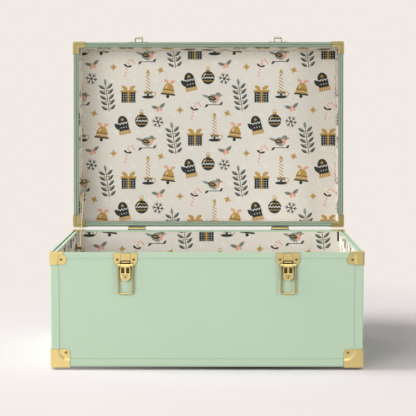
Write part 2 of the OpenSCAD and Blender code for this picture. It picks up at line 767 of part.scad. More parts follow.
module bail(s) {
    wire_r = wire_d / 2;
    leg_x = bail_w / 2 - wire_r;
    bar_z = wire_r - bail_l;
    eye_in = ear_in + ear_t + side_gap;
    at_pin(s) {
        for (t = [0, 1]) mirror([t, 0, 0]) {
            translate([eye_in, 0, 0]) tube_x(ear_r, latch_pin_r + run_gap, bail_w / 2 - eye_in);
            translate([leg_x, 0, bar_z + bend_r])
                cylinder(r = wire_r, h = -bar_z - bend_r - latch_pin_r - 2 * side_gap);
            translate([leg_x - bend_r, 0, bar_z + bend_r]) rotate([90, 0, 0]) rotate([0, 0, -90])
                rotate_extrude(angle = 90) translate([bend_r, 0]) circle(wire_r);
        }
        translate([0, 0, bar_z]) rotate([0, 90, 0])
            cylinder(r = wire_r, h = 2 * (leg_x - bend_r), center = true);
    }
}
module bail_left() color(BRASS) bail(-1);
module bail_right() color(BRASS) bail(1);

// Keepers, drawn as [x, z] from the lid's rim, downwards in the flipped lid

module keeper_plate() {
    offset(r = 2) offset(delta = -2) {
        translate([-keeper_w / 2, -keeper_screw_up - ear_band / 2]) square([keeper_w, ear_band]);
        translate([-hook_w / 2 - cut, -keeper_l]) square([hook_w + 2 * cut, keeper_l - keeper_top]);
    }
}
module keeper() {
    outward(0, plate_t) keeper_plate();
    // Sloped tongue of the hook, with an upright lip at its tip
    lip_z = plate_t * 2 - keeper_l;
    centred_x(hook_w) polygon([
        [-hook_root_out, -keeper_top - cut], [-hook_root_out - plate_t, -keeper_top - cut], [-hook_out, lip_z],
        [-hook_out, -keeper_l], [plate_t - hook_out, -keeper_l], [plate_t - hook_out, lip_z]
    ]);
    // Two legs that carry it
    for (s = [-1, 1]) translate([s * (hook_w - plate_t) / 2, 0, 0]) centred_x(plate_t) polygon([
        [-plate_t / 2, -keeper_top], [-hook_root_out - plate_t / 2, -keeper_top - cut],
        [-hook_root_out - (hook_out - hook_root_out) * leg_share, -keeper_l * leg_share - cut],
        [-plate_t / 2, -keeper_l * leg_share - cut]
    ]);
}
module keepers() {
    color(BRASS) lid_part() for (s = [-1, 1]) translate([s * latch_x, -trunk_d / 2, lid_h]) keeper();
}

// Lid

module lid_front_panel() color(PAINT) lid_part() wall(0, 0, lid_h - metal_t, lid_h);
module lid_right_panel() color(PAINT) lid_part() wall(1, 0, lid_h - metal_t, lid_h);
module lid_back_panel() color(PAINT) lid_part() wall(2, 0, lid_h - metal_t, lid_h);
module lid_left_panel() color(PAINT) lid_part() wall(3, 0, lid_h - metal_t, lid_h);
module lid_top_panel() color(PAINT) lid_pose() flipped(lid_h) floor_board(metal_t);
module lid_top_lining() color(PAPER) lid_pose() flipped(lid_h) lining_floor(metal_t + panel_t);
module lid_linings() {
    color(PAPER) lid_pose() flipped(lid_h) for (side = [0:3])
        lining_wall(side, metal_t + panel_t + lining_t, lid_h - metal_t);
}
module tongue_profile() {
    square([tongue_w, metal_t / 2 + tongue_h - tongue_w / 2]);
    translate([tongue_w / 2, metal_t / 2 + tongue_h - tongue_w / 2]) circle(tongue_w / 2);
}
// The tongue stops short of the brass at the corners
module lid_rim() {
    color(PAINT) lid_part() for (side = [0:3]) {
        tongue_l = 2 * (half_run(side) - rim_corner_w - 2 * seat_gap);
        rim_rail(side, lid_h) channel_profile(lid_h);
        turned(side) translate([0, -face_out(side) + tongue_in - tongue_w / 2, lid_h - metal_t / 2])
            centred_x(tongue_l) tongue_profile();
    }
}
module lid_edging() color(PAINT) lid_part() edge_rails(lid_h);
module lid_uprights() color(PAINT) lid_part() upright_rails(lid_h);
module lid_corners() color(BRASS) lid_part() for (sx = [-1, 1], sy = [-1, 1]) case_corner(sx, sy, lid_h);
module lid_rim_corners() {
    color(BRASS) lid_part() for (sx = [-1, 1], sy = [-1, 1]) rim_corner(sx, sy, lid_h, false);
}
module lid_screws() color(BRASS) lid_pose() flipped(lid_h) lid_sites() screw();

// Stay, drawn as [y, z] from the hinge axis

module at_axis() in_frame() translate([0, axis_y, axis_z]) children();
module link(a, b) {
    difference() {
        hull() for (p = [a, b]) translate(p) circle(link_w / 2, $fn = 32);
        for (p = [a, b]) translate(p) circle(stay_pin_r + run_gap);
    }
}
// A bracket on the lining at x, with a boss that reaches to the link at reach
module bracket(p, reach) {
    translate([-clear_x, 0, 0]) {
        along_x(bracket_t) translate(p) offset(r = 2) square([2 * boss_r, 3 * boss_r], center = true);
        along_x(reach + clear_x - side_gap) translate(p) circle(boss_r);
    }
    translate([reach - cut, 0, 0]) along_x(link_t + 2 * side_gap + cut) translate(p) circle(stay_pin_r);
    translate([reach + link_t + side_gap, p[0], p[1]]) rotate([0, 90, 0]) pin_head(stay_pin_r);
}
module stay_base_bracket() color(BRASS) at_axis() bracket(base_pivot, link_x);
module stay_lid_bracket() {
    color(BRASS) at_axis() rotate([-open_a, 0, 0]) bracket(lid_pivot, upper_x);
}
module stay_lower_link() {
    // The stop rests on the upper link's edge when the lid is open
    color(BRASS) at_axis() translate([link_x, base_pivot[0], base_pivot[1]]) {
        along_x(link_t) difference() {
            union() {
                link([0, 0], lid_pivot_open);
                hull() for (p = [lid_pivot_open, stop_at]) translate(p) circle(2 * stop_r);
            }
            translate(lid_pivot_open) circle(stay_pin_r + run_gap);
        }
        translate([link_t / 2, stop_at[0], stop_at[1]]) rotate([0, 90, 0])
            cylinder(r = stop_r, h = link_t * 1.5 + side_gap);
    }
}
module stay_upper_link() {
    color(BRASS) at_axis() translate([upper_x, 0, 0]) along_x(link_t) link(elbow, lid_pivot_open);
}
module stay_rivet() {
    color(BRASS) at_axis() translate([link_x, elbow[0], elbow[1]]) rotate([0, 90, 0]) {
        translate([0, 0, -side_gap]) cylinder(r = stay_pin_r, h = 2 * link_t + 3 * side_gap);
        mirror([0, 0, 1]) translate([0, 0, run_gap]) pin_head(stay_pin_r);
        translate([0, 0, 2 * link_t + 2 * side_gap]) pin_head(stay_pin_r);
    }
}

base_front_panel();
base_back_panel();
base_left_panel();
base_right_panel();
base_bottom_panel();
base_rim();
base_edging();
base_uprights();
base_linings();
floor_lining();
base_corners();
base_rim_corners();
base_screws();
glides();
hinge_base_leaves();
hinge_pins();
latch_plates();
latch_pins();
latch_springs();
lever_left();
lever_right();
bail_left();
bail_right();
lock_plug_left();
lock_plug_right();
lid_front_panel();
lid_back_panel();
lid_left_panel();
lid_right_panel();
lid_top_panel();
lid_rim();
lid_edging();
lid_uprights();
lid_linings();
lid_top_lining();
lid_corners();
lid_rim_corners();
lid_screws();
hinge_lid_leaves();
keepers();
stay_base_bracket();
stay_lid_bracket();
stay_lower_link();
stay_upper_link();
stay_rivet();
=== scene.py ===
import json
import math

import bpy
from bpy.props import FloatProperty, FloatVectorProperty, PointerProperty
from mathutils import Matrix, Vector


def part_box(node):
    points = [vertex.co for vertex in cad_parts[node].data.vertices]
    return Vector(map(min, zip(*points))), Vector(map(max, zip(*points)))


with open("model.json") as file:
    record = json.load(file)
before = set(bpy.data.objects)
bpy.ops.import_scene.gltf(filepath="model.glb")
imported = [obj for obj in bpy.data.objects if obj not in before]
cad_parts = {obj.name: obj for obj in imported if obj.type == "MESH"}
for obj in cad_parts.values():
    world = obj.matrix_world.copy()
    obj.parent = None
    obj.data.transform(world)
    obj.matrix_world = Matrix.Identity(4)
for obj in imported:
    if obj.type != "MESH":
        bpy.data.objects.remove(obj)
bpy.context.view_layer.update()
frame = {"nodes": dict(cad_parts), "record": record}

bl_info = {
    "name": "Keepsake Trunk Finishes",
    "version": (1, 0, 0),
    "blender": (4, 5, 0),
    "location": "3D View > Sidebar > Trunk",
    "description": "Paints, lines and polishes the packed keepsake trunk and sets its stage",
    "category": "Object",
}

# Places on the trunk, in metres

# A latch plate's pressed bead: as wide as the lever over it, this high, and this far under the plate's top
BEAD_HIGH, BEAD_DROP = 0.006, 0.0182
lever_start, lever_end = (corner[0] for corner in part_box("lever_right"))
BEAD_X, BEAD_Z = (lever_start + lever_end) / 2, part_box("latch_plates")[1][2] - BEAD_DROP
BEAD_HALF_STRAIGHT = (lever_end - lever_start - BEAD_HIGH) / 2
# The groove round a bead, tarnished and darkened with painted shade: its distance from the bead's middle
# line, its half width and soft edge
GROOVE_OUT, GROOVE_HALF_WIDE, GROOVE_EDGE = 0.0024, 0.00084, 0.0004
# The open lid leans back by what its hinge opens past a right angle
lid_open = next(joint["range_deg"][1] for joint in frame["record"]["behaviour"]["joints"]
                if joint["name"] == "lid_hinge")
LID_LEAN = math.radians(lid_open - 90)
LID_UP = (0.0, math.sin(LID_LEAN), math.cos(LID_LEAN))
# The lid rim's half width, its half height and middle along the open lid, and how far in its lip lies
rim_ups = [Vector(LID_UP).dot(vertex.co) for vertex in frame["nodes"]["lid_rim"].data.vertices]
RIM_HALF_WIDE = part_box("lid_rim")[1][0]
RIM_HALF_HIGH, RIM_MIDDLE = (max(rim_ups) - min(rim_ups)) / 2, (max(rim_ups) + min(rim_ups)) / 2
RIM_LIP, RIM_LIP_EDGE = 0.0082, 0.002
# How far out of a corner the fine and the wide darkening of the brass reach, partly tarnished metal and
# partly painted shade, and the painted shadow under the case
FINE_CREASE, WIDE_CREASE, FLOOR_CREASE = 0.003, 0.010, 0.012

# The studio

# Half the floor's side, and the ring in which the floor fades into the backdrop, in metres
FLOOR_HALF = 20
FADE_MIDDLE, FADE_START, FADE_END = (0.1, 0.1, 0.0), 0.348, 0.948
# Each lamp's place, what it points at and how wide it is, in metres
LAMPS = {
    "key": ((-8.4, -0.2, 6.2), (0.0, 0.0, 0.1), 3.6),
    "fill": ((-1.7, -3.2, 0.95), (0.0, 0.0, 0.3), 2.6),
    "lift": ((3.4, -3.0, 0.95), (0.0, 0.0, 0.4), 2.4),
    "behind": ((-2.6, 4.0, 1.8), (0.0, 0.2, 0.4), 2.6),
}
# The camera's place in metres, its turns in degrees, and its lens and sensor in millimetres
CAMERA_PLACE, CAMERA_TURNS = (0.02376, -2.80181, 0.54091), (84.963, 0.066, 0.474)
LENS, SENSOR = 113.45, 36


def screen(red, green, blue):
    """A colour given as 0 to 255 on a screen, as Blender's own linear values."""
    shares = (red / 255, green / 255, blue / 255)
    return tuple(s / 12.92 if s <= 0.04045 else ((s + 0.055) / 1.055) ** 2.4 for s in shares)


# Shader maths

class Value:
    """A number in a recipe: an expression on it adds the Math nodes that work it out."""

    def __init__(self, recipe, socket):
        self.recipe, self.socket = recipe, socket

    def math(self, operation, *operands, clamp=False):
        return self.recipe.add("Math", {"operation": operation, "use_clamp": clamp}, list(operands))

    def __add__(self, other):
        return self.math("ADD", self, other)

    def __radd__(self, other):
        return self.math("ADD", other, self)

    def __sub__(self, other):
        return self.math("SUBTRACT", self, other)

    def __rsub__(self, other):
        return self.math("SUBTRACT", other, self)

    def __mul__(self, other):
        return self.math("MULTIPLY", self, other)

    def __rmul__(self, other):
        return self.math("MULTIPLY", other, self)

    def __mod__(self, other):
        return self.math("FLOORED_MODULO", self, other)

    def __rmod__(self, other):
        return self.math("FLOORED_MODULO", other, self)

    def __gt__(self, other):
        return self.math("GREATER_THAN", self, other)

    def __lt__(self, other):
        return self.math("LESS_THAN", self, other)

    def __abs__(self):
        return self.math("ABSOLUTE", self)

    def less(self, other):
        """The smaller of the two: shapes given as distances join."""
        return self.math("MINIMUM", self, other)

    def more(self, other):
        """The larger of the two: shapes given as distances overlap."""
        return self.math("MAXIMUM", self, other)

    def floor(self):
        """The whole number below."""
        return self.math("FLOOR", self)

    def sine(self):
        return self.math("SINE", self)

    def cosine(self):
        return self.math("COSINE", self)

    def wrap(self, low, high):
        """Repeats from low to high, over and over."""
        return self.math("WRAP", self, high, low)

    def scaled(self, factor, plus, clamp=False):
        """This times a factor, plus a number."""
        return self.math("MULTIPLY_ADD", self, factor, plus, clamp=clamp)

    def span(self, low, high, clamp=False):
        """The low value where this is 0, the high one where it is 1."""
        return self.scaled(high - low, low, clamp)

    def ramp(self, start, end):
        """0 up to the start and 1 from the end on, either way round."""
        slope = 1 / (end - start)
        return self.scaled(slope, -start * slope, clamp=True)

    def ink(self):
        """1 inside a shape given as a distance, 0 outside it, with a soft printed edge."""
        return self.ramp(PRINT_EDGE / 2, -PRINT_EDGE / 2)


class Recipe:
    """The nodes of one material or node group."""

    def __init__(self, tree):
        self.tree = tree

    def add(self, kind, settings=None, inputs=(), out=0):
        """A new shader node: its settings are set first, then its sockets get their values or links."""
        node = self.tree.nodes.new("ShaderNode" + kind)
        for name, setting in (settings or {}).items():
            setattr(node, name, setting)
        pairs = inputs.items() if isinstance(inputs, dict) else enumerate(inputs)
        for name, given in pairs:
            socket = node.inputs[name]
            if isinstance(given, Value):
                self.tree.links.new(given.socket, socket)
            elif isinstance(given, tuple) and len(given) == 3 and socket.type == "RGBA":
                socket.default_value = (*given, 1)
            else:
                socket.default_value = given
        return Value(self, node.outputs[out])

    def vector(self, operation, *vectors):
        """Vector maths: lengths, distances and dot products come as numbers."""
        out = 1 if operation in ("LENGTH", "DISTANCE", "DOT_PRODUCT") else 0
        return self.add("VectorMath", {"operation": operation}, list(vectors), out)

    def parts(self, vector):
        """A vector's three numbers."""
        node = self.add("SeparateXYZ", {}, [vector]).socket.node
        return [Value(self, socket) for socket in node.outputs]

    def joined(self, x, y, z=0.0):
        """A vector from three numbers."""
        return self.add("CombineXYZ", {}, [x, y, z])

    def mix(self, first, second, factor):
        """The first colour where the factor is 0, the second where it is 1."""
        return self.add("Mix", {"data_type": "RGBA"}, {0: factor, 6: first, 7: second}, out=2)

    def shade(self, colour, factor):
        """A colour made lighter or darker by a factor that varies."""
        return self.add("Mix", {"data_type": "RGBA", "blend_type": "MULTIPLY"},
                        {0: 1.0, 6: colour, 7: self.joined(factor, factor, factor)}, out=2)

    def noise(self, place, scale, detail=2.0, roughness=0.5):
        """Soft clouds around a half, so many to the metre."""
        return self.add("TexNoise", {}, {"Vector": place, "Scale": scale, "Detail": detail,
                                         "Roughness": roughness})

    def bump(self, height, strength, distance):
        """Small relief: the distance is how high a height of 1 stands, in metres."""
        return self.add("Bump", {}, {"Strength": strength, "Distance": distance, "Height": height})

    def rays(self):
        """Whether a ray comes from the camera, from a glossy surface or through a clear one."""
        paths = self.add("LightPath").socket.node.outputs
        return [Value(self, paths[f"Is {kind} Ray"]) for kind in ("Camera", "Glossy", "Transmission")]


class Finish(Recipe):
    """One material, with a Principled shader."""

    def __init__(self, name, **constants):
        self.material = bpy.data.materials.new(name)
        self.material.use_nodes = True
        super().__init__(self.material.node_tree)
        self.shader = self.tree.nodes["Principled BSDF"]
        for socket, value in constants.items():
            self.shader.inputs[socket.replace("_", " ")].default_value = value
        self.place = self.add("TexCoord", {}, (), out=3)

    def crease_shade(self, reach):
        """1 in the open, less in creases and corners that close within a distance."""
        return self.add("AmbientOcclusion", {"samples": 8, "only_local": False}, {"Distance": reach}, out=1)

    def wear(self, **surfaces):
        """Links what varies over the surface to the shader's sockets."""
        for socket, value in surfaces.items():
            self.tree.links.new(value.socket, self.shader.inputs[socket.replace("_", " ")])
        return self.material


def dress(material, slot, *nodes):
    """Gives CAD nodes a material. The slot, the record's slot that the material stands for, is not used."""
    for name in nodes:
        piece = frame["nodes"][name]
        for holder in piece.material_slots:
            holder.link = "OBJECT"
            holder.material = material


# Finishes

def painted_case(name, paint, shade_tone=1.0, crease_shade=0.9, reach=0.0025, lip=False):
    """Satin paint on fine-grained leathercloth, with painted shade darkening its creases and the lid rim's
    inner lip, and a shade_tone below 1 that darkens a whole copy of the paint.
    """
    finish = Finish(name, Specular_IOR_Level=0.4)
    place = finish.place
    clouds = finish.noise(place, scale=9.0, detail=3.0)
    speckle = finish.noise(place, scale=900.0, detail=1.0)
    shade = clouds.span(0.955, 1.005) + speckle * 0.03
    # Painted shade: darker where creases and corners close in
    shade = shade * finish.crease_shade(reach).span(1 - crease_shade, 1, clamp=True)
    # Painted shade on the lid rim's inner lip: half as bright from the lip inwards
    if lip:
        along = finish.parts(place)[0]
        up = finish.vector("DOT_PRODUCT", place, LID_UP)
        inset = (RIM_HALF_WIDE - abs(along)).less(RIM_HALF_HIGH - abs(up - RIM_MIDDLE))
        shade = shade * inset.ramp(RIM_LIP + RIM_LIP_EDGE, RIM_LIP).span(0.5, 1)
    pebble = finish.add("TexVoronoi", {"feature": "SMOOTH_F1"},
                        {"Vector": place, "Scale": 1 / paint.grain, "Smoothness": 0.6})
    return finish.wear(
        Base_Color=finish.shade(tuple(c * shade_tone for c in paint.colour), shade),
        Roughness=clouds.span(paint.roughness - 0.06, paint.roughness + 0.06),
        Normal=finish.bump(pebble, strength=paint.grain_depth, distance=0.0002),
    )


def brass_finish(name, brass, shade_tone=1.0, dull_and_shade=0.5, gloss=0.0, beads=False):
    """Pressed brass, lightly brushed, darkened in its creases and in the grooves round the plates' beads,
    partly tarnished and partly painted shade; a shade_tone below 1 makes a darker, shaded copy.
    """
    finish = Finish(name, Metallic=1.0)
    place = finish.place
    clouds = finish.noise(place, scale=60.0, detail=3.0)
    strokes = finish.vector("MULTIPLY", place, (350, 350, 5200))
    brushed = finish.noise(strokes, scale=1.0)
    fine, wide = finish.crease_shade(FINE_CREASE), finish.crease_shade(WIDE_CREASE)
    # Darkening in creases, partly tarnished metal and partly painted shade: a strong band close in and a
    # fainter, wider one
    tarnish_and_shade_mask = (fine.ramp(0.912, 0.618) * dull_and_shade).more(wide.ramp(0.8125, 0.1875) * (dull_and_shade * 0.6))
    # Darkening in the groove round each latch plate's bead, partly tarnished metal and partly painted shade
    if beads:
        across, _, up = finish.parts(place)
        past = (abs(abs(across) - BEAD_X) - BEAD_HALF_STRAIGHT).more(0.0)
        out = finish.vector("LENGTH", finish.joined(past, up - BEAD_Z))
        groove = abs(out - GROOVE_OUT).ramp(GROOVE_HALF_WIDE + GROOVE_EDGE, GROOVE_HALF_WIDE)
        tarnish_and_shade_mask = tarnish_and_shade_mask.more(groove)
    bloom = clouds.ramp(0.469, 1.094) * (dull_and_shade * 0.35)
    # A shade_tone below 1 gives a darker copy of the brass, as painted shade
    bright = tuple(c * shade_tone for c in brass.colour)
    colour = finish.mix(finish.mix(bright, tuple(brass.bloom), bloom), tuple(brass.tarnish_and_shade), tarnish_and_shade_mask)
    matt = brass.roughness - gloss
    return finish.wear(
        Base_Color=finish.shade(colour, brushed.span(0.95, 1.05)),
        Roughness=clouds.span(matt - 0.07, matt + 0.07) + brushed.span(-0.03, 0.03) + tarnish_and_shade_mask * 0.25,
        Normal=finish.bump(brushed, strength=0.12, distance=0.00004),
    )


def spring_steel(colour):
    """Dark blued steel of the springs behind the levers, dark also as painted shade in the levers' windows.
    """
    finish = Finish("blued_steel", Metallic=1.0)
    clouds = finish.noise(finish.place, scale=120.0)
    return finish.wear(Base_Color=finish.shade(tuple(colour), clouds.span(0.75, 1.25)),
                       Roughness=clouds.span(0.3, 0.5))


def moulded_rubber(colour):
    """Dark, matt rubber of the glides."""
    finish = Finish("glide_rubber", Roughness=0.7)
    grain = finish.noise(finish.place, scale=1800.0)
    return finish.wear(Base_Color=finish.shade(tuple(colour), grain.span(0.85, 1.15)),
                       Normal=finish.bump(grain, strength=0.3, distance=0.0001))


# The lining's print

class Motifs(Recipe):
    """Draws the lining's print. A shape is a distance that is negative inside it, in the print's own
    unit. The layers are inked in the order of the list, one over the other."""

    layers = ("sage", "white", "peach", "gold", "charcoal", "glint", "gilt")

    def __init__(self, tree):
        super().__init__(tree)
        self.shapes = {layer: [] for layer in self.layers}

    def draw(self, layer, *shapes):
        self.shapes[layer].extend(shapes)

    def moved(self, place, x, y):
        """The same place as seen from another middle."""
        return self.vector("SUBTRACT", place, (x, y, 0))

    def turned(self, place, degrees):
        return self.add("VectorRotate", {"rotation_type": "Z_AXIS"},
                        {"Vector": place, "Angle": math.radians(degrees)})

    def folded(self, place):
        """The same place with its left half laid over the right one."""
        x, y, _ = self.parts(place)
        return self.joined(abs(x), y)

    def disc(self, place, x, y, radius):
        return self.vector("DISTANCE", place, (x, y, 0)) - radius

    def ring(self, place, x, y, radius, width):
        return abs(self.disc(place, x, y, radius)) - width / 2

    def oval(self, place, x, y, wide, high):
        """An oval by its centre and half sizes."""
        flat = self.vector("MULTIPLY", place, (high / wide, 1, 0))
        return self.disc(flat, x * high / wide, y, high)

    def bar(self, place, x, y, wide, high):
        """A rectangle by its centre and half sizes."""
        near = self.vector("ABSOLUTE", self.moved(place, x, y))
        across, up, _ = self.parts(self.moved(near, wide, high))
        return across.more(up)

    def leaf(self, place, x, y, degrees, long, wide):
        """A pointed leaf by its centre, the angle it leans at and its half sizes."""
        radius = (long * long + wide * wide) / (2 * wide)
        side, lean = radius - wide, math.radians(degrees)
        dx, dy = -math.sin(lean) * side, math.cos(lean) * side
        return self.disc(place, x + dx, y + dy, radius).more(self.disc(place, x - dx, y - dy, radius))

    def star(self, place, size, hollow):
        """A star of four points, the more hollow the thinner."""
        across, up, _ = self.parts(self.vector("ABSOLUTE", place))
        return across + up + across * up * hollow - size

    def dots(self, place, step, radius):
        """Dots in rows, a step apart."""
        return self.disc(self.vector("WRAP", place, (step / 2,) * 3, (-step / 2,) * 3), 0, 0, radius)

    def stripes(self, along, step, width):
        """Stripes across a direction, a step apart."""
        return abs((along + step / 2) % step - step / 2) - width / 2

    def zigzag(self, x, y, tooth, width):
        """A zigzag line with teeth that wide."""
        return abs(y - abs(x % tooth - tooth / 2)) - width / 2


def sprig(art, at):
    """Leafy sprig with berries, each leaf dark on its lower half."""
    side, y, _ = art.parts(art.folded(at))
    lean = 38
    leafy = abs(y + 2) - 22
    row = art.joined(side, (y + 25) % 9.0)
    leaves = art.leaf(row, 6.6, 4.2, lean, 6.6, 2.5).more(leafy)
    over = (-math.sin(math.radians(lean)), math.cos(math.radians(lean)), 0)
    lower = art.vector("DOT_PRODUCT", art.moved(row, 6.6, 4.2), over)
    art.draw("sage", leaves, art.leaf(at, 0, 23, 90, 5.4, 2.3))
    art.draw("charcoal", leaves.more(lower), (side - 0.55).more(abs(y + 2.5) - 24))
    art.draw("gilt", art.disc(art.joined(side, (y + 30) % 18.0), 2.9, 2.4, 1.5).more(leafy))


def candle(art, at):
    """Lit candle on its holder."""
    x, y, _ = art.parts(at)
    body = art.bar(at, 0, 0.5, 3.6, 13)
    art.draw("white", body)
    art.draw("gold", art.stripes(y + x * 0.8, 5.2, 2.2).more(body), art.bar(at, 0, -11.6, 7.4, 0.9),
             art.leaf(at, 0, 19.8, 90, 5.8, 2.8), art.ring(at, 9.6, -15.6, 3.2, 1.3))
    art.draw("charcoal", art.bar(at, 0, -14, 6, 1.7), art.bar(at, 0, -17.2, 1.7, 2.2),
             art.oval(at, 0, -20.6, 10, 2.6), art.bar(at, 0, 14.2, 0.4, 1.1))
    art.draw("glint", art.disc(at, 0, 18.4, 1.2), art.bar(at, 0, -13.9, 4.6, 0.35))


def bell(art, at):
    """Hand bell with a bow."""
    both = art.folded(at)
    y = art.parts(at)[1]
    dome = art.oval(at, 0, -8, 10.4, 19.5).more(-6.8 - y)
    band = abs(y + 3.4) - 1.4
    art.draw("gold", dome)
    art.draw("charcoal", art.bar(at, 0, -7.8, 12, 1.3), art.disc(at, 0, -11.5, 2.8),
             (abs(y + 0.2) - 0.5).more(dome))
    art.draw("glint", art.dots(art.moved(at, 0, -3.4), 3.1, 0.75).more(band).more(dome + 0.8),
             art.leaf(at, -3.9, 4.4, 74, 3.6, 0.7), art.disc(at, 0, 12.6, 1.4))
    art.draw("peach", art.leaf(both, 5.2, 14.2, 24, 5.0, 2.7), art.leaf(both, 3.6, 8.8, -58, 4.6, 1.4))


def mitten(art, at):
    """Knitted mitten with a zigzag and a cuff."""
    x, y, _ = art.parts(at)
    palm = art.oval(at, 1.5, 4.5, 8.6, 11.8).less(art.bar(at, 1.5, -2, 8.6, 6.6))
    cuff = art.bar(at, 1.5, -11.6, 9.8, 3.4)
    band = abs(y + 3.4) - 1.4
    art.draw("charcoal", palm, art.leaf(at, -8.6, -0.4, 122, 7.8, 3.6))
    art.draw("gold", cuff)
    art.draw("glint", art.zigzag(x + 1, y - 2.5, 5.0, 1.5).more(palm + 0.6),
             art.stripes(x + 0.5, 3.2, 0.5).more(cuff + 0.9),
             art.dots(art.moved(at, 1.5, -3.4), 4.2, 0.8).more(band).more(palm + 0.8))
    art.draw("gilt", art.star(art.moved(at, 1.5, 10), 3.4, 0.5))


def gift(art, at):
    """Parcel in spotted paper with a bow."""
    both = art.folded(at)
    box = art.bar(at, 0, -5, 11.8, 8.8)
    art.draw("charcoal", box)
    art.draw("glint", art.dots(at, 3.9, 0.7).more(box + 0.7), art.disc(at, 0, 8.6, 1.7))
    art.draw("gilt", art.bar(at, 0, -5, 1.7, 8.8))
    art.draw("gold", art.bar(at, 0, 5.0, 13.2, 2.2), art.leaf(both, 6.2, 10.8, 34, 6.4, 3.0))


def robin(art, at):
    """Robin on a twig."""
    body = art.oval(at, 0, -0.5, 9.4, 7.1)
    art.draw("sage", body, art.disc(at, 7.2, 5.2, 4.7), art.leaf(at, -12.2, 2.8, 160, 7.8, 2.2))
    art.draw("peach", art.disc(at, 6.6, -1.2, 5.4).more(body))
    art.draw("charcoal", art.leaf(at, -2.8, 0.0, 165, 7.8, 3.3), art.disc(at, 8.6, 6.2, 0.9),
             art.bar(at, -0.6, -8.9, 0.35, 2.0), art.bar(at, 3.2, -8.8, 0.35, 2.0),
             art.bar(at, 0, -11, 14, 0.55), art.leaf(at, 12.4, -9.0, 48, 4.2, 1.6),
             art.leaf(at, -12, -12.8, 40, 4.2, 1.6))
    art.draw("gold", art.leaf(at, 12.8, 4.8, 0, 2.8, 1.2))
    art.draw("gilt", art.leaf(at, -3.2, 0.2, 165, 4.6, 0.9))


def bauble(art, at):
    """Glass ball on its loop."""
    x, y, _ = art.parts(at)
    ball = art.disc(at, 0, -4.5, 11)
    art.draw("charcoal", ball)
    art.draw("glint", art.zigzag(x + 2.4, y + 5.7, 4.8, 1.6).more(ball + 0.8),
             art.leaf(at, -5.6, 0.6, 52, 3.6, 0.8))
    art.draw("gilt", (abs(abs(y + 4.5) - 5.4) - 0.6).more(ball + 0.6))
    art.draw("gold", art.bar(at, 0, 7.8, 3.2, 1.7), art.ring(at, 0, 12, 2.5, 1.1))


def cane(art, at):
    """Striped sugar cane with a bow."""
    x, y, _ = art.parts(at)
    crook = art.ring(at, 2.6, 9.4, 4.6, 4).more(9.4 - y)
    form = crook.less(art.bar(at, -2, -3.8, 2, 13.4)).less(art.disc(at, 7.2, 9.4, 2))
    art.draw("white", form)
    art.draw("peach", art.stripes(y + x * 0.8, 5.4, 2.7).more(form))
    art.draw("charcoal", art.leaf(at, -5.8, 2.6, 150, 3.8, 1.7), art.leaf(at, 1.8, 2.6, 30, 3.8, 1.7),
             art.disc(at, -2, 1.2, 1.4))


def flake(art, at):
    """Snowflake with six arms."""
    x, y, _ = art.parts(at)
    reach = art.vector("LENGTH", at)
    angle = art.add("Math", {"operation": "ARCTAN2"}, [y, x]).wrap(-math.pi / 6, math.pi / 6)
    along, off = reach * angle.cosine(), abs(reach * angle.sine())
    arm = (off - 0.7).more(along - 10)
    barb = (abs(off - (along - 4.8) * 0.8) - 0.75).more(along - 8.2).more(4.6 - along)
    art.draw("charcoal", arm, barb)


def berries(art, at):
    """Pair of leaves with three berries."""
    both = art.folded(at)
    art.draw("sage", art.leaf(both, 6.2, 3.2, 30, 6.6, 2.9))
    art.draw("charcoal", art.leaf(both, 6.2, 3.2, 30, 5.4, 0.5))
    art.draw("peach", art.disc(both, 2.8, -2.6, 2.6), art.disc(at, 0, 1.8, 2.6))


def starlet(art, at):
    """Gold star of eight points."""
    art.draw("gold", art.star(at, 8, 0.9), art.star(art.turned(at, 45), 5.4, 0.9))


# Each motif's place in the repeat, as shares of its width and height, and its tilt in degrees
SCATTER = (
    (sprig, 0.651, 0.822, -8), (candle, 0.266, 0.447, 0), (bell, 0.575, 0.389, 7),
    (mitten, 0.885, 0.473, -12), (gift, 0.972, 0.835, 0), (robin, 0.255, 0.79, 0),
    (bauble, 0.169, 0.059, 0), (cane, 0.972, 0.146, 14), (flake, 0.415, 0.017, 10),
    (berries, 0.433, 0.173, -14), (starlet, 0.746, 0.152, 0), (starlet, 0.457, 0.615, 20),
)
# The repeat's width and height, and how wide a printed edge is, in the unit that the motifs are drawn in
REPEAT = (112, 145)
PRINT_EDGE = 0.6


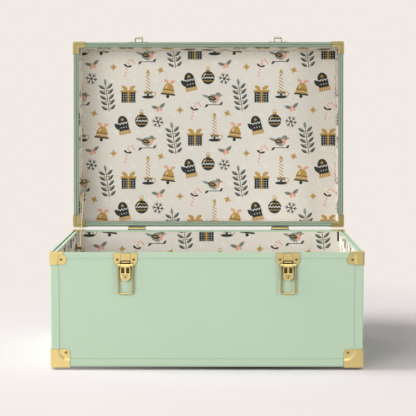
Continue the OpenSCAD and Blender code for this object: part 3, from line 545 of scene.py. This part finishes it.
def print_group(lining):
    """Node group that turns a place on the cloth, in the print's unit, into the print's colour."""
    group = bpy.data.node_groups.new("winter_print", "ShaderNodeTree")
    group.interface.new_socket("Place", in_out="INPUT", socket_type="NodeSocketVector")
    group.interface.new_socket("Colour", in_out="OUTPUT", socket_type="NodeSocketColor")
    art = Motifs(group)
    cloth = Value(art, group.nodes.new("NodeGroupInput").outputs[0])
    across, up, _ = art.parts(cloth)
    wide, high = REPEAT
    for motif, share_x, share_y, tilt in SCATTER:
        # Each column of the repeat hangs half a repeat lower than the one before
        aside = across - share_x * wide
        column = aside.scaled(1 / wide, 0.5).floor()
        rise = column.scaled(high / 2, -share_y * high) + up
        at = art.joined(column.scaled(-wide, aside), rise.wrap(-high / 2, high / 2))
        motif(art, art.turned(at, tilt) if tilt else at)

    # Soft white sparkles between the motifs
    spread = art.joined((across + up * 0.5).wrap(-wide / 6, wide / 6), up.wrap(-high / 10, high / 10))
    sparkle = art.star(spread, 9, 1.2).less(art.star(art.turned(spread, 45), 6, 1.2))
    linen = art.noise(cloth, scale=0.42, detail=3.0, roughness=0.65)
    ground = art.shade(tuple(lining.ground), linen.span(0.83, 1.17))
    colour = art.mix(ground, tuple(lining.white), sparkle.ramp(0.4, -3.6) * 0.8)

    # Inks with the marks of a dry brush
    brush = art.noise(art.vector("MULTIPLY", cloth, (1.0, 0.35, 0.0)), scale=0.9)
    inks = {
        "sage": art.mix(tuple(lining.sage), tuple(lining.charcoal), brush.ramp(0.375, 1.0)),
        "white": tuple(lining.white),
        "peach": tuple(lining.peach),
        "gold": art.shade(tuple(lining.gold), brush.span(0.6, 1.4)),
        "charcoal": art.shade(tuple(lining.charcoal), brush.span(0.7, 1.5)),
        "glint": tuple(lining.white),
        "gilt": tuple(lining.gold),
    }
    for layer in art.layers:
        shape = art.shapes[layer][0]
        for other in art.shapes[layer][1:]:
            shape = shape.less(other)
        colour = art.mix(colour, inks[layer], shape.ink())
    art.tree.links.new(colour.socket, group.nodes.new("NodeGroupOutput").inputs[0])
    return group


def printed_cloth(name, group, lining, lean, shift):
    """The print laid on each board by the way that board faces, upright as the shell stands open."""
    finish = Finish(name, Roughness=0.82, Specular_IOR_Level=0.25)
    place = finish.place
    facing = finish.add("TexCoord", {}, (), out=1)
    up_axis = (0.0, math.sin(lean), math.cos(lean))
    deep_axis = (0.0, math.cos(lean), -math.sin(lean))
    along = finish.parts(place)[0]
    deep = finish.vector("DOT_PRODUCT", place, deep_axis)
    up = finish.vector("DOT_PRODUCT", place, up_axis)
    side = abs(finish.parts(facing)[0]) > 0.6
    flat = abs(finish.vector("DOT_PRODUCT", facing, up_axis)) > 0.6
    u = along + side * (deep - along)
    v = up + flat * (deep - up)
    unit = REPEAT[0] / lining.repeat_width
    spot = finish.joined(u.scaled(unit, shift[0]), v.scaled(unit, shift[1]))
    picture = finish.add("Group", {"node_tree": group}, [spot])
    thread = math.tau / lining.thread
    weave = (u * thread).sine() * (v * thread).sine()
    slub = finish.noise(finish.joined(u * 120, v * 1100), scale=1.0)
    return finish.wear(
        Base_Color=finish.shade(picture, slub.span(0.94, 1.06) + weave * 0.04),
        Normal=finish.bump(weave + slub * 1.5, strength=0.25, distance=0.00012),
    )


# Sizes and colours that a user may change

def colour_property(name, description, default):
    return FloatVectorProperty(name=name, description=description, subtype="COLOR", size=3,
                               min=0, max=1, default=default)


def power_property(name, description, default):
    return FloatProperty(name=name, description=description, unit="POWER", min=0, default=default)


class PaintSettings(bpy.types.PropertyGroup):
    """The case's paint and the rubber under it."""

    colour: colour_property("Paint", "Colour of the case's paint", screen(197, 220, 194))
    roughness: FloatProperty(name="Roughness", description="How matt the paint is", subtype="FACTOR",
                             min=0.06, max=0.94, default=0.42)
    grain: FloatProperty(name="Grain", description="Width of one pebble of the grain", unit="LENGTH",
                         min=0.0002, max=0.005, default=0.0009)
    grain_depth: FloatProperty(name="Grain depth", description="How strongly the grain shows",
                               subtype="FACTOR", min=0, max=1, default=0.12)
    rubber: colour_property("Rubber", "Colour of the glides", screen(52, 50, 47))


class BrassSettings(bpy.types.PropertyGroup):
    """The pressed fittings' brass and the springs' steel."""

    colour: colour_property("Brass", "Colour of clean brass", screen(244, 224, 156))
    # The colour of tarnished brass, used also for painted shade in creases and grooves
    tarnish_and_shade: colour_property("Tarnish", "Colour of brass in creases", screen(44, 30, 12))
    bloom: colour_property("Bloom", "Colour of brass where it has dulled", screen(190, 154, 88))
    steel: colour_property("Steel", "Colour of the springs", screen(112, 96, 66))
    roughness: FloatProperty(name="Roughness", description="How matt the brass is", subtype="FACTOR",
                             min=0.05, max=1, default=0.3)


class LiningSettings(bpy.types.PropertyGroup):
    """The printed lining."""

    ground: colour_property("Ground", "Colour of the bare cloth", screen(234, 230, 221))
    white: colour_property("White", "White ink", screen(240, 237, 230))
    charcoal: colour_property("Charcoal", "Darkest ink", screen(52, 56, 54))
    sage: colour_property("Sage", "Grey green ink", screen(158, 167, 155))
    gold: colour_property("Gold", "Gold ink", screen(196, 158, 84))
    peach: colour_property("Peach", "Pink ink", screen(232, 178, 152))
    repeat_width: FloatProperty(name="Repeat width", description="Width of the print's repeat",
                                unit="LENGTH", min=0.05, max=0.4, default=0.155)
    thread: FloatProperty(name="Thread", description="Distance between the cloth's threads",
                          unit="LENGTH", min=0.0004, max=0.003, default=0.0009)


class StageSettings(bpy.types.PropertyGroup):
    """The studio round the trunk."""

    backdrop: colour_property("Backdrop", "Colour behind the trunk", screen(242, 235, 229))
    floor: colour_property("Floor", "Colour of the floor", screen(239, 233, 236))
    # Painted shadow: the floor's colour close under the case
    under: colour_property("Under", "Colour of the floor close under the case", screen(98, 97, 101))
    bounce: colour_property("Bounce", "Colour that the floor throws back on the trunk", (0.35, 0.34, 0.33))
    sky: colour_property("Sky", "Colour of the even light from all round", screen(255, 252, 248))
    mirror: colour_property("Mirror", "Colour of the studio in the brass", screen(255, 252, 246))
    ambient: FloatProperty(name="Ambient", description="Strength of the even light from all round",
                           min=0, max=2, default=0.27)
    key: power_property("Key", "Power of the lamp on the left", 980)
    fill: power_property("Fill", "Power of the lamp in front", 72)
    lift: power_property("Lift", "Power of the lamp on the right", 54)
    behind: power_property("Behind", "Power of the lamp behind", 45)


# Pieces

class TRUNK_OT_paint_case(bpy.types.Operator):
    """Paint the boards, their pressed edging and the two rims"""

    bl_idname = "trunk.paint_case"
    bl_label = "Paint the Case"

    def execute(self, context):
        settings = context.scene.trunk_paint
        paint = painted_case("sage_paint", settings)
        # The lid's rim: a darker copy of the paint, with deeper painted shade in its creases and on its
        # inner lip
        rim_paint = painted_case("rim_paint", settings, shade_tone=0.8, crease_shade=1.7, reach=0.0045, lip=True)
        sides = ("front", "back", "left", "right")
        dress(paint, "painted_panel", *(f"base_{side}_panel" for side in (*sides, "bottom")),
              *(f"lid_{side}_panel" for side in (*sides, "top")))
        dress(paint, "painted_edging", "base_edging", "base_uprights", "base_rim", "lid_edging",
              "lid_uprights")
        dress(rim_paint, "painted_edging", "lid_rim")
        return {"FINISHED"}


class TRUNK_OT_line_case(bpy.types.Operator):
    """Lay the printed cloth on the lining boards of the base and the lid"""

    bl_idname = "trunk.line_case"
    bl_label = "Line the Case"

    def execute(self, context):
        lining = context.scene.trunk_lining
        group = print_group(lining)
        dress(printed_cloth("base_print", group, lining, lean=0.0, shift=(0, 30)),
              "printed_lining", "base_linings", "floor_lining")
        dress(printed_cloth("lid_print", group, lining, lean=LID_LEAN, shift=(20, 10)),
              "printed_lining", "lid_linings", "lid_top_lining")
        return {"FINISHED"}


class TRUNK_OT_fit_corners(bpy.types.Operator):
    """Polish the pressed corners, and make the lid rim's corners and all the screws duller and darker, the
    darkness painted shade
    """

    bl_idname = "trunk.fit_corners"
    bl_label = "Fit the Corners"

    def execute(self, context):
        brass = context.scene.trunk_brass
        dress(brass_finish("pressed_brass", brass), "brass",
              "base_corners", "base_rim_corners", "lid_corners")
        # The lid rim's corners: a darker copy of the brass, as painted shade
        dress(brass_finish("rim_brass", brass, shade_tone=0.69, dull_and_shade=1.0), "brass", "lid_rim_corners")
        # The screws: a darker copy of the brass, as painted shade in their recesses
        dress(brass_finish("screw_brass", brass, shade_tone=0.5, dull_and_shade=1.0, gloss=0.08), "brass",
              "base_screws", "lid_screws")
        return {"FINISHED"}


class TRUNK_OT_fit_latches(bpy.types.Operator):
    """Polish the latches and keepers, darken the bails and keepers with painted shade, and blue the springs
    """

    bl_idname = "trunk.fit_latches"
    bl_label = "Fit the Latches"

    def execute(self, context):
        brass = context.scene.trunk_brass
        dress(brass_finish("latch_brass", brass, shade_tone=0.97, dull_and_shade=0.85, beads=True), "brass",
              "latch_plates", "lock_plug_left", "lock_plug_right")
        dress(brass_finish("lever_brass", brass, shade_tone=0.97, dull_and_shade=0.85, gloss=0.15), "brass",
              "latch_pins", "lever_left", "lever_right")
        # Bails and keepers: darker copies of the brass, as painted shade
        dress(brass_finish("bail_brass", brass, shade_tone=0.69, dull_and_shade=1.0), "brass", "bail_left", "bail_right")
        dress(brass_finish("keeper_brass", brass, shade_tone=0.24, dull_and_shade=1.0), "brass", "keepers")
        dress(spring_steel(brass.steel), "spring_steel", "latch_springs")
        return {"FINISHED"}


class TRUNK_OT_fit_hinges(bpy.types.Operator):
    """Make the brass of the hinges and of the lid stay duller and darker, the stay's darkness painted shade
    """

    bl_idname = "trunk.fit_hinges"
    bl_label = "Fit the Hinges and the Stay"

    def execute(self, context):
        brass = context.scene.trunk_brass
        dress(brass_finish("hinge_brass", brass, shade_tone=0.5, dull_and_shade=1.0, gloss=0.08), "brass",
              "hinge_base_leaves", "hinge_lid_leaves", "hinge_pins")
        # The stay: a darker copy of the brass, as painted shade
        dress(brass_finish("stay_brass", brass, shade_tone=0.42, dull_and_shade=1.0, gloss=0.1), "stay_brass",
              "stay_base_bracket", "stay_lid_bracket", "stay_lower_link", "stay_upper_link", "stay_rivet")
        return {"FINISHED"}


class TRUNK_OT_fit_glides(bpy.types.Operator):
    """Give the glides under the base their rubber"""

    bl_idname = "trunk.fit_glides"
    bl_label = "Fit the Glides"

    def execute(self, context):
        dress(moulded_rubber(context.scene.trunk_paint.rubber), "rubber", "glides")
        return {"FINISHED"}


class TRUNK_OT_set_stage(bpy.types.Operator):
    """Lay the floor, light the studio, hang the lamps and place the camera"""

    bl_idname = "trunk.set_stage"
    bl_label = "Set the Stage"

    def execute(self, context):
        stage = context.scene.trunk_stage
        self.lay_floor(context, stage)
        self.light_studio(context, stage)
        self.hang_lamps(context, stage)
        self.place_camera(context)
        context.scene.view_settings.view_transform = "Standard"
        return {"FINISHED"}

    def stand(self, context, name, data):
        """A new object in the scene."""
        thing = bpy.data.objects.new(name, data)
        context.scene.collection.objects.link(thing)
        return thing

    def lay_floor(self, context, stage):
        """A plain floor that fades into the backdrop round the trunk."""
        corners = [(x * FLOOR_HALF, y * FLOOR_HALF, 0) for x, y in ((-1, -1), (1, -1), (1, 1), (-1, 1))]
        mesh = bpy.data.meshes.new("studio_floor")
        mesh.from_pydata(corners, [], [(0, 1, 2, 3)])
        floor = self.stand(context, "studio_floor", mesh)
        finish = Finish("studio_floor", Roughness=0.9, Specular_IOR_Level=0.0)
        camera, gloss, glass = finish.rays()
        away = finish.vector("DISTANCE", finish.place, FADE_MIDDLE)
        far = away.ramp(FADE_START, FADE_END)
        # Painted shadow: the floor turns to the under colour where little light gets in under the case
        outside = finish.crease_shade(FLOOR_CREASE).ramp(0.24, 0.64)
        ground = finish.mix(tuple(stage.under), tuple(stage.floor), outside)
        # The floor lights the trunk from below less than it shows
        finish.wear(Base_Color=finish.mix(tuple(stage.bounce), ground, camera))
        lit = Value(finish, finish.shader.outputs[0])
        # Metal mirrors a floor that is brighter on the key's side
        gleam = finish.parts(finish.place)[0].scaled(-0.55, 0.97).less(1.2).more(0.6)
        mirrored = finish.shade(tuple(stage.backdrop), gleam * gloss + (1 - gloss))
        plain = finish.add("Emission", {}, [mirrored, 1.0])
        mixed = finish.add("MixShader", {}, [(camera * far).more(gloss).more(glass), lit, plain])
        finish.tree.links.new(mixed.socket, finish.tree.nodes["Material Output"].inputs[0])
        mesh.materials.append(finish.material)

    def light_studio(self, context, stage):
        """Even light all round, the backdrop for the camera, and walls and a ceiling for the brass."""
        world = bpy.data.worlds.new("studio")
        world.use_nodes = True
        context.scene.world = world
        sky = Recipe(world.node_tree)
        camera, gloss, glass = sky.rays()
        even = sky.add("Background", {}, [tuple(stage.sky), stage.ambient])
        shown = sky.add("Background", {}, [tuple(stage.backdrop), 1.0])
        # Metal mirrors a bright ceiling and left wall, a dim horizon and a dark right wall
        aside, _, height = sky.parts(sky.add("TexCoord"))
        ceiling, left = height.ramp(1 / 6, 7 / 12).span(0.6, 2.3), aside.ramp(0.8636, -0.0455)
        mirrored = sky.add("Background", {}, [tuple(stage.mirror), ceiling * left])
        mixed = sky.add("MixShader", {}, [camera, even, shown])
        mixed = sky.add("MixShader", {}, [gloss.more(glass), mixed, mirrored])
        sky.tree.links.new(mixed.socket, sky.tree.nodes["World Output"].inputs[0])

    def hang_lamps(self, context, stage):
        """Round lamps that the brass doesn't mirror."""
        for name, (place, target, size) in LAMPS.items():
            light = bpy.data.lights.new(name, "AREA")
            light.shape, light.size, light.energy = "DISK", size, getattr(stage, name)
            lamp = self.stand(context, name, light)
            lamp.location = place
            lamp.visible_glossy = False
            lamp.rotation_mode = "QUATERNION"
            lamp.rotation_quaternion = (Vector(target) - Vector(place)).to_track_quat("-Z", "Y")

    def place_camera(self, context):
        """A long lens in front of the trunk, a little above it."""
        data = bpy.data.cameras.new("camera")
        data.lens, data.sensor_width, data.sensor_fit = LENS, SENSOR, "HORIZONTAL"
        camera = self.stand(context, "camera", data)
        camera.location = CAMERA_PLACE
        camera.rotation_euler = [math.radians(turn) for turn in CAMERA_TURNS]
        context.scene.camera = camera


class TRUNK_PT_finishes(bpy.types.Panel):
    """Lists the trunk's pieces and their settings"""

    bl_idname = "TRUNK_PT_finishes"
    bl_label = "Keepsake Trunk"
    bl_space_type = "VIEW_3D"
    bl_region_type = "UI"
    bl_category = "Trunk"

    def draw(self, context):
        for operator in operators:
            self.layout.operator(operator.bl_idname)
        for name in settings_groups:
            settings = getattr(context.scene, name)
            box = self.layout.box()
            for setting in settings.__annotations__:
                box.prop(settings, setting)


operators = (TRUNK_OT_paint_case, TRUNK_OT_line_case, TRUNK_OT_fit_corners, TRUNK_OT_fit_latches,
             TRUNK_OT_fit_hinges, TRUNK_OT_fit_glides, TRUNK_OT_set_stage)
settings_groups = {"trunk_paint": PaintSettings, "trunk_brass": BrassSettings,
                   "trunk_lining": LiningSettings, "trunk_stage": StageSettings}


def register():
    for group in (*settings_groups.values(), *operators, TRUNK_PT_finishes):
        bpy.utils.register_class(group)
    for name, group in settings_groups.items():
        setattr(bpy.types.Scene, name, PointerProperty(type=group))


def unregister():
    for name in settings_groups:
        delattr(bpy.types.Scene, name)
    for group in reversed((*settings_groups.values(), *operators, TRUNK_PT_finishes)):
        bpy.utils.unregister_class(group)


def main():
    register()
    bpy.ops.trunk.paint_case()
    bpy.ops.trunk.line_case()
    bpy.ops.trunk.fit_corners()
    bpy.ops.trunk.fit_latches()
    bpy.ops.trunk.fit_hinges()
    bpy.ops.trunk.fit_glides()
    bpy.ops.trunk.set_stage()


if __name__ == "__main__":
    main()
